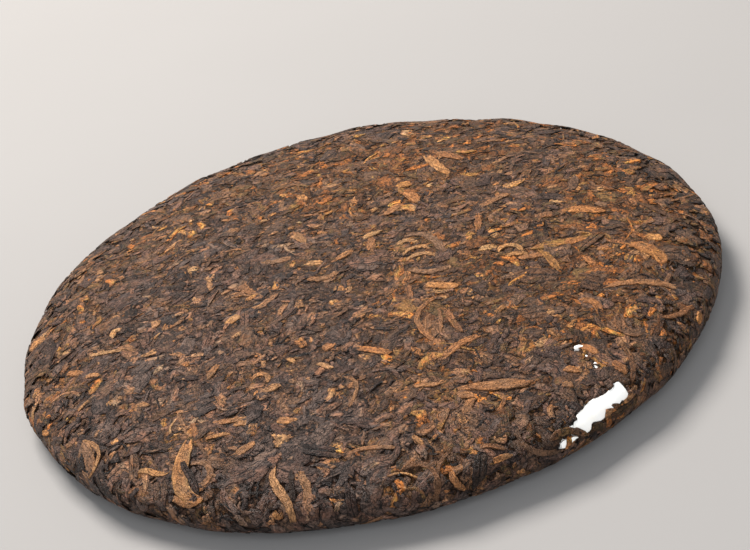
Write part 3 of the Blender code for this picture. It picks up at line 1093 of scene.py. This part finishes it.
@dataclass
class PlacedLeaves(LeafLayer):
    """Leaves that stand out, each laid in its own place."""

    spots: tuple[Spot, ...] = ()

    def scatter(self, skin: CakeSkin, flow: FlowField, rng: np.random.Generator) -> LeafPaths:
        """Lines from the spots: the heading is toward + bend t + sway (t^2 - 1/3) for t from -1 to 1."""
        along = np.linspace(-1, 1, self.cut.rings)
        middle = np.array([(spot.x, spot.y) for spot in self.spots])
        course = np.array([(spot.toward, spot.bend, spot.sway) for spot in self.spots])
        toward, bend, sway = np.radians(course).T[..., None]
        angle = toward + bend * along + sway * (along**2 - 1 / 3)
        length, width, tint, warm, lean, rise = np.array([
            (spot.length, spot.wide, spot.tone, spot.warm, spot.lean, spot.rise) for spot in self.spots
        ]).T
        stride = (length / (self.cut.rings - 1))[:, None, None]
        line = np.cumsum(np.stack([np.cos(angle), np.sin(angle)], axis=-1) * stride, axis=1)
        line += middle[:, None, :] - line.mean(axis=1, keepdims=True)
        count = len(self.spots)
        return LeafPaths(
            lines=line,
            length=length,
            width=width,
            thickness=spread(rng, self.cut.thickness, count),
            sunk=spread(rng, self.cut.sunk, count),
            tint=tint,
            seed=np.clip(warm + rng.uniform(-0.07, 0.07, count), 0.0, 1.0),
            lean=lean,
            rise=rise,
        )


# ---------------------------------------------------------------------------------------------------
# The ticket
# ---------------------------------------------------------------------------------------------------


@dataclass
class PaperTicket:
    """The paper slip: a thin wrinkled sheet that comes up where the leaves over it are gone."""

    place: TicketPlace
    steps_around: int = 160
    steps_down: int = 110
    hidden_depth: float = 1.25
    shown_depth: float = 0.2
    thickness: float = 0.12
    ramp: float = 0.35

    def build(self, skin: CakeSkin, material: bpy.types.Material) -> bpy.types.Object:
        """The slip as one closed piece: an upper and a lower sheet joined along their edges.

        The sheet's depth goes from the hidden to the shown one with the distance to the nearest gap, and
        crossing sine waves make low wrinkles.
        """
        around, down = np.meshgrid(
            np.linspace(*self.place.around, self.steps_around + 1),
            np.linspace(*self.place.down, self.steps_down + 1),
            indexing="ij",
        )
        chart = self.place.to_chart(skin, around, down)
        inside = self.place.depth_inside(around, down)
        shown = smooth_step(1 + inside / self.ramp)
        lift = -self.hidden_depth + (self.hidden_depth - self.shown_depth) * shown
        lift = lift + 0.03 * np.sin(around * 0.9 + down * 0.7) + 0.02 * np.sin(down * 1.6 - around * 0.6)
        upper = skin.place(Side.FACE, chart, lift).reshape(-1, 3)
        lower = skin.place(Side.FACE, chart, lift - self.thickness).reshape(-1, 3)
        rows, columns = around.shape
        number = np.arange(rows * columns).reshape(rows, columns)
        top = np.stack([number[:-1, :-1], number[:-1, 1:], number[1:, 1:], number[1:, :-1]], axis=-1)
        top = top.reshape(-1, 4)
        bottom = top[:, ::-1] + rows * columns
        loop = np.concatenate([number[:-1, 0], number[-1, :-1], number[:0:-1, -1], number[0, :0:-1]])
        after = np.roll(loop, -1)
        side = np.stack([loop, loop + rows * columns, after + rows * columns, after], axis=-1)
        piece = mesh_piece("ticket_slip", np.concatenate([upper, lower]),
                           [np.concatenate([top, bottom, side])], {})
        finish_piece(piece, material, "paper_ticket")
        return piece


# ---------------------------------------------------------------------------------------------------
# The studio
# ---------------------------------------------------------------------------------------------------


@dataclass(frozen=True)
class SoftLight:
    """A large square lamp that faces the cake."""

    name: str
    place: tuple[float, float, float]
    size: float
    watts: float
    colour: tuple[float, float, float] = (1.0, 1.0, 1.0)

    def build(self) -> bpy.types.Object:
        """The lamp, turned to the origin."""
        lamp = bpy.data.lights.new(self.name, "AREA")
        lamp.size = self.size
        lamp.energy = self.watts
        lamp.color = self.colour
        thing = bpy.data.objects.new(self.name, lamp)
        thing.location = self.place
        back = np.array(self.place) / np.linalg.norm(self.place)
        thing.rotation_euler = turned_to(back, np.array([0.0, 0.0, 1.0]), 0.0).to_euler()
        bpy.context.scene.collection.objects.link(thing)
        return thing


def turned_to(back: Array, up: Array, roll: float) -> "bpy.types.Matrix":
    """The turn of a camera or lamp whose back points along a direction.

    Args:
        back: unit vector from the target to the thing.
        up: what counts as up.
        roll: turn around the view line; a positive one lowers the picture's right side in the world.

    Returns:
        A 3 by 3 rotation matrix with the picture's right, its up and back as columns.
    """
    from mathutils import Matrix

    right = np.cross(up, back)
    right /= np.linalg.norm(right)
    above = np.cross(back, right)
    turned_right = math.cos(roll) * right - math.sin(roll) * above
    turned_up = math.sin(roll) * right + math.cos(roll) * above
    return Matrix(np.stack([turned_right, turned_up, back], axis=1).tolist())


@dataclass
class Studio:
    """Camera, lamps, sky and floor."""

    aim: tuple[float, float, float] = (4.18, 2.56, 12.0)
    distance: float = 500.0
    elevation: float = math.radians(30.15)
    roll: float = math.radians(13.44)
    lens: float = 83.96
    floor_size: float = 8.0
    sky: float = 0.42
    lamps: tuple[SoftLight, ...] = (
        SoftLight("key_lamp", (-0.35, 0.62, 1.05), 0.6, 33.5, (1.0, 0.955, 0.90)),
        SoftLight("fill_lamp", (0.0, -1.1, 0.8), 1.0, 12.0, (0.90, 0.95, 1.0)),
    )

    def camera(self) -> bpy.types.Object:
        """The camera, in front of the cake and above it, rolled about its view line."""
        back = np.array([0.0, -math.cos(self.elevation), math.sin(self.elevation)])
        made = bpy.data.cameras.new("camera")
        made.lens = self.lens
        made.clip_start = 0.01
        thing = bpy.data.objects.new("camera", made)
        thing.location = (np.array(self.aim) + self.distance * back) * MM
        thing.rotation_euler = turned_to(back, np.array([0.0, 0.0, 1.0]), self.roll).to_euler()
        bpy.context.scene.collection.objects.link(thing)
        bpy.context.scene.camera = thing
        return thing

    def floor(self, material: bpy.types.Material) -> bpy.types.Object:
        """A flat square under the cake."""
        half = self.floor_size / MM / 2
        points = np.array([[-half, -half, 0], [half, -half, 0], [half, half, 0], [-half, half, 0]])
        thing = mesh_piece("studio_floor", points, [np.array([[0, 1, 2, 3]])], {})
        thing.data.materials.append(material)
        return thing

    def build(self) -> None:
        """Sets up the studio around the cake."""
        scene = bpy.context.scene
        scene.view_settings.view_transform = "Standard"
        world = bpy.data.worlds.new("studio_sky")
        world.use_nodes = True
        sky = world.node_tree.nodes["Background"]
        sky.inputs["Color"].default_value = (1.0, 1.0, 1.0, 1.0)
        sky.inputs["Strength"].default_value = self.sky
        scene.world = world
        for lamp in self.lamps:
            lamp.build()
        self.floor(FloorFinish().material())
        self.camera()
        LOG.info("studio: %d lamps", len(self.lamps))


# ---------------------------------------------------------------------------------------------------
# The whole cake
# ---------------------------------------------------------------------------------------------------

DARK_TONES = ToneMix(((0.45, 0.28, 0.05), (0.35, 0.37, 0.05), (0.20, 0.45, 0.05)))
BROWN_TONES = ToneMix(((0.48, 0.41, 0.07), (0.36, 0.53, 0.07), (0.16, 0.65, 0.06)))
RUSSET_TONES = ToneMix(((0.60, 0.58, 0.05), (0.40, 0.68, 0.05)))
GOLD_TONES = ToneMix(((0.60, 0.70, 0.05), (0.40, 0.78, 0.05)))
STEM_TONES = ToneMix(((0.60, 0.50, 0.08), (0.40, 0.72, 0.08)))
# Near black, for the thin threads that are painted shadows in the cracks between leaves.
CREVICE_SHADOW_TONES = ToneMix(((1.0, 0.06, 0.04),))
CRUMB_TONES = ToneMix(((0.50, 0.28, 0.08), (0.34, 0.44, 0.08), (0.16, 0.62, 0.10)))

ROLLED = LeafCut(Section.ROLLED, 9, (3.5, 11.0), (0.8, 1.6), (0.22, 0.34), bend=0.45, sway=0.4,
                 stray=0.8, taper=4.0, ragged=0.15, dive=0.4, sunk=(-0.36, 0.0), tilt=0.03, crease=0.15,
                 heave=0.05, hooked=0.15)
FLAT = LeafCut(Section.FLAT, 8, (3.0, 9.0), (1.8, 4.6), (0.14, 0.24), bend=0.3, sway=0.2,
               stray=1.2, taper=8.0, ragged=0.16, dive=0.2, sunk=(-0.36, 0.06), tilt=0.03, roll=0.07,
               crease=0.12, heave=0.03, blunt=0.45)
STRIP = LeafCut(Section.FLAT, 8, (2.6, 9.0), (1.2, 3.2), (0.14, 0.26), bend=0.4, sway=0.3,
                stray=1.3, taper=8.0, ragged=0.14, dive=0.25, sunk=(-0.26, 0.10), tilt=0.04, roll=0.12,
                crease=0.12, heave=0.04, hooked=0.12, blunt=0.45)
BUD = LeafCut(Section.GROOVED, 8, (3.0, 9.0), (1.5, 3.4), (0.2, 0.34), bend=0.45, sway=0.4,
              stray=1.3, taper=4.0, ragged=0.15, dive=0.25, sunk=(-0.12, 0.10), tilt=0.04, roll=0.12,
              crease=0.15, heave=0.04, hooked=0.12, blunt=0.3)
STEM = LeafCut(Section.ROLLED, 11, (8.0, 18.0), (0.6, 1.1), (0.25, 0.4), bend=0.5, sway=0.35,
               stray=0.6, taper=8.0, ragged=0.1, dive=0.6, sunk=(-0.20, 0.06), tilt=0.02, heave=0.05,
               blunt=0.6)
BROAD = LeafCut(Section.BROAD, 11, (7.0, 14.0), (3.6, 7.0), (0.14, 0.22), bend=0.3, sway=0.2,
                stray=1.2, taper=4.0, ragged=0.12, dive=0.3, sunk=(-0.12, 0.06), tilt=0.02, roll=0.03,
                crease=0.3, heave=0.04, blunt=0.3)
CRUMB = LeafCut(Section.FLAT, 4, (0.8, 3.2), (0.5, 1.6), (0.16, 0.34), bend=0.3, sway=0.0, stray=1.6,
                taper=4.0, ragged=0.34, dive=0.1, sunk=(-0.26, 0.08), tilt=0.08, roll=0.14, heave=0.0,
                blunt=0.5)


FLUSH = LeafCut(Section.FLAT, 8, (5.0, 12.0), (3.4, 7.0), (0.10, 0.16), bend=0.3, sway=0.2, stray=1.2,
                taper=8.0, ragged=0.14, dive=0.12, sunk=(-0.02, 0.08), tilt=0.01, roll=0.02, crease=0.12,
                heave=0.02, blunt=0.5)
FLAKE = LeafCut(Section.FLAT, 5, (1.8, 4.6), (1.2, 3.2), (0.14, 0.26), bend=0.25, sway=0.1, stray=1.6,
                taper=8.0, ragged=0.34, dive=0.08, sunk=(-0.14, 0.06), tilt=0.04, roll=0.07, crease=0.15,
                heave=0.0, kink=0.1, blunt=0.7)
THREAD = LeafCut(Section.ROLLED, 6, (1.6, 7.0), (0.35, 0.8), (0.2, 0.3), bend=0.7, sway=0.5,
                 stray=1.0, taper=2.0, ragged=0.2, dive=0.3, sunk=(-0.16, 0.04), tilt=0.02, blunt=0.1,
                 heave=0.04, kink=0.25, hooked=0.2)
FOLDED = LeafCut(Section.FOLDED, 9, (4.0, 10.0), (1.8, 3.4), (0.22, 0.34), bend=0.5, sway=0.3,
                 stray=1.3, taper=3.0, ragged=0.1, dive=0.3, sunk=(-0.16, 0.0), tilt=0.02, blunt=0.25,
                 gilt=0.75)
PLACED_FOLD = LeafCut(Section.FOLDED, 20, (0, 0), (0, 0), (0.28, 0.36), bend=0, sway=0, stray=0, taper=2.6,
                      ragged=0.08, dive=0.3, sunk=(0.02, 0.06), tilt=0.01, roll=0.02, crease=0.15,
                      heave=0.03, blunt=0.25, gilt=0.95)
PLACED_BUD = LeafCut(Section.GROOVED, 16, (0, 0), (0, 0), (0.3, 0.42), bend=0, sway=0, stray=0, taper=2.4,
                     ragged=0.18, dive=0.3, sunk=(0.08, 0.16), tilt=0.01, roll=0.04, crease=0.2,
                     heave=0.03, blunt=0.2, gilt=0.3)
PLACED_STRIP = LeafCut(Section.GROOVED, 18, (0, 0), (0, 0), (0.22, 0.32), bend=0, sway=0, stray=0,
                       taper=3.4, ragged=0.22, dive=0.35, sunk=(0.08, 0.16), tilt=0.01, roll=0.04,
                       crease=0.25, heave=0.04, blunt=0.3, gilt=0.3)
PLACED_BROAD = LeafCut(Section.BROAD, 18, (0, 0), (0, 0), (0.2, 0.3), bend=0, sway=0, stray=0, taper=2.6,
                       ragged=0.10, dive=0.35, sunk=(0.05, 0.10), tilt=0.01, roll=0.02, crease=0.4,
                       heave=0.04, blunt=0.3)

BUD_SPOTS = (
    Spot(-93, -38, -45, 4.5, 1.7, 0.82), Spot(-95, 4, 15, 6, 3.4, 0.78, -60),
    Spot(-61, -72, -22, 10, 1.5, 0.82, sway=60), Spot(-54, -84, -40, 8, 1.6, 0.70, 50, warm=0.74),
    Spot(-30, -92, -88, 16, 2.2, 0.80, 10, -58, rise=0.2), Spot(-24, -92, -80, 8, 2.1, 0.66, -30),
    Spot(-82, -21, -37, 6, 2.2, 0.66), Spot(-77, -25, -20, 5, 1.8, 0.70),
    Spot(-67, -19, -27, 7.5, 2.4, 0.62, -40), Spot(-26, -69, -26, 4.5, 2.6, 0.68, warm=0.74),
    Spot(-58, -11, 30, 3, 2.6, 0.74, warm=0.5), Spot(-36, -20, 27, 4.5, 3.2, 0.76),
    Spot(-22, -46, -59, 3.5, 1.4, 0.80, warm=0.5), Spot(-14, -52, -45, 5, 1.6, 0.80, warm=0.5),
    Spot(-43, -41, 55, 6, 2.4, 0.64), Spot(-30, -50, -33, 8, 1.6, 0.68, -95, 30),
    Spot(-28, -56, 24, 5, 2.6, 0.68), Spot(-12, -44, 38, 3.5, 3.0, 0.60, warm=0.74),
    Spot(12, -101, -60, 6, 1.8, 0.70, 32), Spot(24, -97, 14, 5, 1.6, 0.72), Spot(5, -88, -60, 4, 1.4, 0.74),
    Spot(19, -76, -17, 5, 2.6, 0.62), Spot(26, -74, -3, 18, 3.6, 0.62, sway=15, lean=0.55, rise=0.1),
    Spot(46, -74, -19, 4, 2.2, 0.68, warm=0.74), Spot(44, -79, -17, 3, 1.9, 0.62),
    Spot(52, -68, -45, 6, 2.4, 0.66, -20), Spot(58, -75, -57, 5, 2.6, 0.62, warm=0.74),
    Spot(85, -56, -112, 4, 2.4, 0.82, warm=0.74), Spot(-1, -51, -40, 11, 2.2, 0.66, warm=0.74),
    Spot(10, -35, -50, 8, 3.2, 0.60, warm=0.74), Spot(21, -28, -27, 9, 3.0, 0.76),
    Spot(36, -15, -8, 5, 2.8, 0.84, warm=0.5), Spot(42, -17, -15, 9.5, 1.9, 0.80, -85, rise=0.15, warm=0.5),
    Spot(43, -21, -2, 6, 1.8, 0.78, -30, rise=0.15, warm=0.5), Spot(65, -3, -19, 12, 3.0, 0.72, -30),
    Spot(80, -23, -12, 5, 3.2, 0.86, -50), Spot(77, -29, -55, 14, 4.6, 0.70, -20),
    Spot(6, 7, 32, 6, 2.4, 0.80, warm=0.5), Spot(20, 24, -67, 8, 3.6, 0.68), Spot(19, 33, 10, 5, 3.8, 0.70),
    Spot(-12, -1, -26, 6, 2.8, 0.76, warm=0.5), Spot(-3, -2, 20, 6, 2.6, 0.66), Spot(-42, 3, -88, 7.5, 1.6, 0.76, warm=0.5),
    Spot(-15, 15, -53, 7, 2.6, 0.70, -40), Spot(30, 43, -75, 18, 3.2, 0.76, 10),
)
STRIP_SPOTS = (
    Spot(-78, -57, -90, 19, 1.3, 0.76, -85, -42), Spot(-48, -78, -86, 13, 1.5, 0.60, -105, -34, warm=0.74),
    Spot(-52, -59, -78, 10, 1.1, 0.58), Spot(-47, -72, -72, 10, 1.0, 0.46),
    Spot(-49, -63, -85, 6.5, 1.6, 0.56, warm=0.74), Spot(-27, -91, -97, 9, 1.4, 0.14),
    Spot(-39, -64, -14, 10, 1.7, 0.66, warm=0.74), Spot(-37, -66, -24, 4, 2.0, 0.70),
    Spot(-43, -68, -2, 6.5, 1.4, 0.74), Spot(-37, -75, 22, 6, 2.3, 0.64, warm=0.74),
    Spot(-71, -18, -25, 14, 1.4, 0.80, -6, -30, warm=0.5), Spot(-7, -87, -3, 13, 1.4, 0.60, -30, 15),
    Spot(-8, -64, -84, 14, 1.0, 0.62, -60, 20), Spot(5, -98, -52, 16, 1.4, 0.48, -90),
    Spot(8, -99, 70, 14, 1.1, 0.48, -30), Spot(22, -94, -14, 7, 1.2, 0.56, -20, warm=0.74),
    Spot(33, -95, -37, 16, 1.4, 0.44, 70, -25), Spot(61, -73, -90, 13, 1.4, 0.46, -25, warm=0.74),
    Spot(19, -80, -116, 6, 2.4, 0.60), Spot(27, -80, -85, 9, 1.1, 0.60, -70, 35),
    Spot(11, -69, 2, 10, 1.5, 0.66, 15, 50), Spot(21, -57, 32, 14, 2.2, 0.64, -15),
    Spot(15, -43, -106, 30, 1.6, 0.6, 65, -20), Spot(21, -45, -81, 14, 1.9, 0.50, 10, warm=0.74),
    Spot(34, -45, 39, 5, 2.0, 0.56, warm=0.74), Spot(12, -28, -90, 8, 2.0, 0.52),
    Spot(5, 1, -99, 9, 2.4, 0.60, warm=0.74), Spot(14, 19, 28, 7, 3.2, 0.64),
    Spot(15, -2, -5, 7, 1.7, 0.76, -60, warm=0.5), Spot(17, -7, 2, 9.5, 1.7, 0.76, -55, warm=0.5),
    Spot(18, -11, -3, 10.5, 1.7, 0.74, -45, warm=0.5), Spot(20, -3, -41, 21, 2.4, 0.52, -60, 40, warm=0.5),
    Spot(19, -19, -14, 13, 2.2, 0.56, 45, warm=0.5), Spot(36, 0, -100, 11, 2.0, 0.60, warm=0.74),
    Spot(46, -23, -6, 7, 2.4, 0.62), Spot(56, -18, 2, 16, 3.2, 0.68, warm=0.74),
    Spot(51, -26, -78, 14, 2.3, 0.66, warm=0.74), Spot(54, -3, 14, 6, 2.6, 0.58, warm=0.74),
    Spot(61, -30, -72, 6, 2.0, 0.64), Spot(73, -44, -9, 21, 2.4, 0.64, -10),
    Spot(57, -50, -52, 9.5, 1.8, 0.64, -65), Spot(79, -56, 25, 12, 1.5, 0.62, 25, -30),
    Spot(85, -7, -56, 19, 1.8, 0.30), Spot(43, 12, 34, 13, 2.4, 0.60),
    Spot(-22, 6, -15, 10, 2.2, 0.58, 50), Spot(-10, -10, -7, 10.5, 2.2, 0.62, 55),
    Spot(-31, -7, -65, 9, 2.6, 0.58, 40), Spot(34, 48, -53, 13, 3.0, 0.62, 20),
)
BROAD_SPOTS = (
    Spot(-82, -57, -88, 6, 3.0, 0.10, rise=0.25), Spot(-66, -68, -100, 8.5, 3.2, 0.46, -20),
    Spot(-60, -78, -101, 7, 4.4, 0.40, -25), Spot(-51.5, -78, -79, 12, 1.8, 0.22, -5, -20, rise=0.5),
    Spot(-19, -83, -30, 12.5, 3.8, 0.18, rise=0.15, warm=0.35), Spot(-39, -60, -7, 4, 3.6, 0.20, warm=0.35),
    Spot(-14, -100, -99, 8, 2.9, 0.24, 10), Spot(18, -99, -105, 9, 3.6, 0.14, warm=0.35),
    Spot(57.5, -86.5, 32, 9, 2.2, 0.28, 5), Spot(42, -66, -40, 6, 5.0, 0.26, warm=0.35),
    Spot(46, -33, -22, 12, 6.5, 0.26, warm=0.35), Spot(59, -40, -36, 8, 7.0, 0.24, warm=0.35),
    Spot(64, -20, 40, 12, 3.6, 0.34, rise=0.3), Spot(58, 8, -31, 9, 4.6, 0.20, warm=0.35),
    Spot(-61, -16, -84, 9, 2.0, 0.40), Spot(-33, -22, -93, 8, 2.8, 0.44), Spot(-44, -26, 75, 9, 2.3, 0.46),
)
FOLDED_SPOTS = (
    Spot(-52.5, -76, -88, 21, 4.2, 0.72, 40, 50, rise=0.1), Spot(-80, -58, -86, 12, 5.4, 0.55, -20),
    Spot(16, -46, -99, 13, 5.0, 0.5, warm=0.5), Spot(64, -60, -53, 14, 3.0, 0.44, 95, 50),
    Spot(-33, -10, -11, 13, 2.4, 0.54, -50), Spot(57, -50, -42, 9, 2.4, 0.50, -75, 45),
)
CROSSING_SPOTS = (
    Spot(41.3, -92.6, 12, 10.5, 1.7, 0.40, -35, 20),
)


@dataclass
class TeaCake:
    """The whole cake: bed, leaves and ticket."""

    skin: CakeSkin
    groups: NodeGroups
    ticket: TicketPlace = field(default_factory=TicketPlace)
    flow: FlowField = field(default_factory=FlowField)
    past_rim: float = 7.0

    def finishes(self) -> dict[str, bpy.types.Material]:
        """A material for each kind of tea."""
        made = (
            TeaFinish("bed_of_fine_leaf", streak=0.1, mottle=0.35, patch=0.10, edge=-0.12, shade_mottle=1.6,
                      crack=-0.3, relief=0.8, shards=0.34),
            TeaFinish("dark_leaf", cast=-0.05),
            TeaFinish("brown_leaf"),
            TeaFinish("russet_leaf", cast=0.14),
            TeaFinish("golden_bud", patch=0.0, roughness=(0.5, 0.75), cast=0.06),
            TeaFinish("placed_leaf", streak=0.22, mottle=0.08, patch=0.0, edge=-0.3, cast=0.15, drift=0.2,
                      shade_mottle=1.0, crease=-0.4, crack=-0.35, roughness=(0.5, 0.75)),
            TeaFinish("tea_stem"),
        )
        return {finish.name: finish.material(self.groups) for finish in made}

    def layers(self) -> list[tuple[LeafLayer, str]]:
        """Every scattered layer with its finish's name."""
        face = self.skin.widest_travel + self.past_rim
        under = self.skin.whole_travel - self.skin.widest_travel + 1.0
        above, below = Side.FACE, Side.UNDERSIDE
        return [
            (LeafLayer("dark_flat_leaves", above, FLAT, DARK_TONES, 950, 11, face), "dark_leaf"),
            (LeafLayer("dark_rolled_leaves", above, ROLLED, DARK_TONES, 750, 12, face), "dark_leaf"),
            (LeafLayer("brown_leaves", above, FLAT, BROWN_TONES, 450, 13, face), "brown_leaf"),
            (LeafLayer("brown_strips", above, STRIP, BROWN_TONES, 500, 14, face), "brown_leaf"),
            (LeafLayer("russet_strips", above, STRIP, RUSSET_TONES, 330, 15, face), "russet_leaf"),
            (LeafLayer("golden_buds", above, BUD, GOLD_TONES, 130, 16, face), "golden_bud"),
            (LeafLayer("tea_stems", above, STEM, STEM_TONES, 60, 17, face), "tea_stem"),
            (LeafLayer("flush_leaves", above, FLUSH, DARK_TONES, 210, 26, face), "dark_leaf"),
            (LeafLayer("broad_leaves", above, BROAD, DARK_TONES, 100, 18, face), "dark_leaf"),
            (LeafLayer("leaf_flakes", above, FLAKE, CRUMB_TONES, 1300, 25, face), "dark_leaf"),
            (LeafLayer("golden_chips", above, FLAKE, GOLD_TONES, 170, 27, face), "golden_bud"),
            (LeafLayer("leaf_crumbs", above, CRUMB, CRUMB_TONES, 3200, 19, face), "brown_leaf"),
            # Thin near-black threads laid in as painted shadows in the cracks between leaves.
            (LeafLayer("crevice_shadow_threads", above, THREAD, CREVICE_SHADOW_TONES, 1450, 20, face), "dark_leaf"),
            (LeafLayer("folded_leaves", above, FOLDED, DARK_TONES, 150, 24, face, 0.2), "dark_leaf"),
            (PlacedLeaves("folded_in_place", above, PLACED_FOLD, BROWN_TONES, 0, 44, face, 0.36, 0.05, 0.4,
                          spots=FOLDED_SPOTS), "placed_leaf"),
            (PlacedLeaves("leaf_over_ticket", above, PLACED_STRIP, BROWN_TONES, 0, 45, face, 0.3, 0.05, 0.3,
                          True, CROSSING_SPOTS), "brown_leaf"),
            (PlacedLeaves("broad_leaves_in_place", above, PLACED_BROAD, BROWN_TONES, 0, 41, face, 0.32, 0.05,
                          0.2, spots=BROAD_SPOTS), "dark_leaf"),
            (PlacedLeaves("strips_in_place", above, PLACED_STRIP, BROWN_TONES, 0, 42, face, 0.44, 0.05, 0.2,
                          spots=STRIP_SPOTS), "placed_leaf"),
            (PlacedLeaves("buds_in_place", above, PLACED_BUD, BROWN_TONES, 0, 43, face, 0.50, 0.05, 0.2,
                          spots=BUD_SPOTS), "placed_leaf"),
            (LeafLayer("under_dark_leaves", below, FLAT, DARK_TONES, 1200, 21, under, 0.0, 0.05, 0.0),
             "dark_leaf"),
            (LeafLayer("under_brown_strips", below, STRIP, BROWN_TONES, 700, 22, under, 0.0, 0.05, 0.0),
             "brown_leaf"),
            (LeafLayer("under_golden_buds", below, BUD, GOLD_TONES, 120, 23, under, 0.0, 0.05, 0.0),
             "golden_bud"),
        ]

    def build(self) -> None:
        """Builds every piece in order."""
        finishes = self.finishes()
        bed = finishes["bed_of_fine_leaf"]
        face = self.skin.widest_travel + 1.5
        under = self.skin.whole_travel - self.skin.widest_travel + 1.5
        LeafBed("leaf_bed_face", Side.FACE, face, 306, 31).build(self.skin, self.ticket, self.flow, bed)
        LeafBed("leaf_bed_underside", Side.UNDERSIDE, under, 240, 32).build(
            self.skin, self.ticket, self.flow, bed
        )
        for layer, finish in self.layers():
            layer.build(self.skin, self.ticket, self.flow, finishes[finish])
        PaperTicket(self.ticket).build(self.skin, PaperFinish().material())


def cake_skin() -> CakeSkin:
    """The skin at the frame's size: its box, less what the waves and lumps add to it."""
    lowest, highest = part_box("tea_cake")
    wave_allowance = 0.24
    lump_allowance = 0.59
    half_width = (highest.x - lowest.x + highest.y - lowest.y) / 4 / MM
    return CakeSkin(radius=half_width - wave_allowance, height=highest.z / MM - lump_allowance)


def main() -> None:
    """Builds the studio and the cake."""
    logging.basicConfig(level=logging.INFO, format="%(name)s %(message)s")
    Studio().build()
    TeaCake(cake_skin(), NodeGroups()).build()


if __name__ == "__main__":
    main()
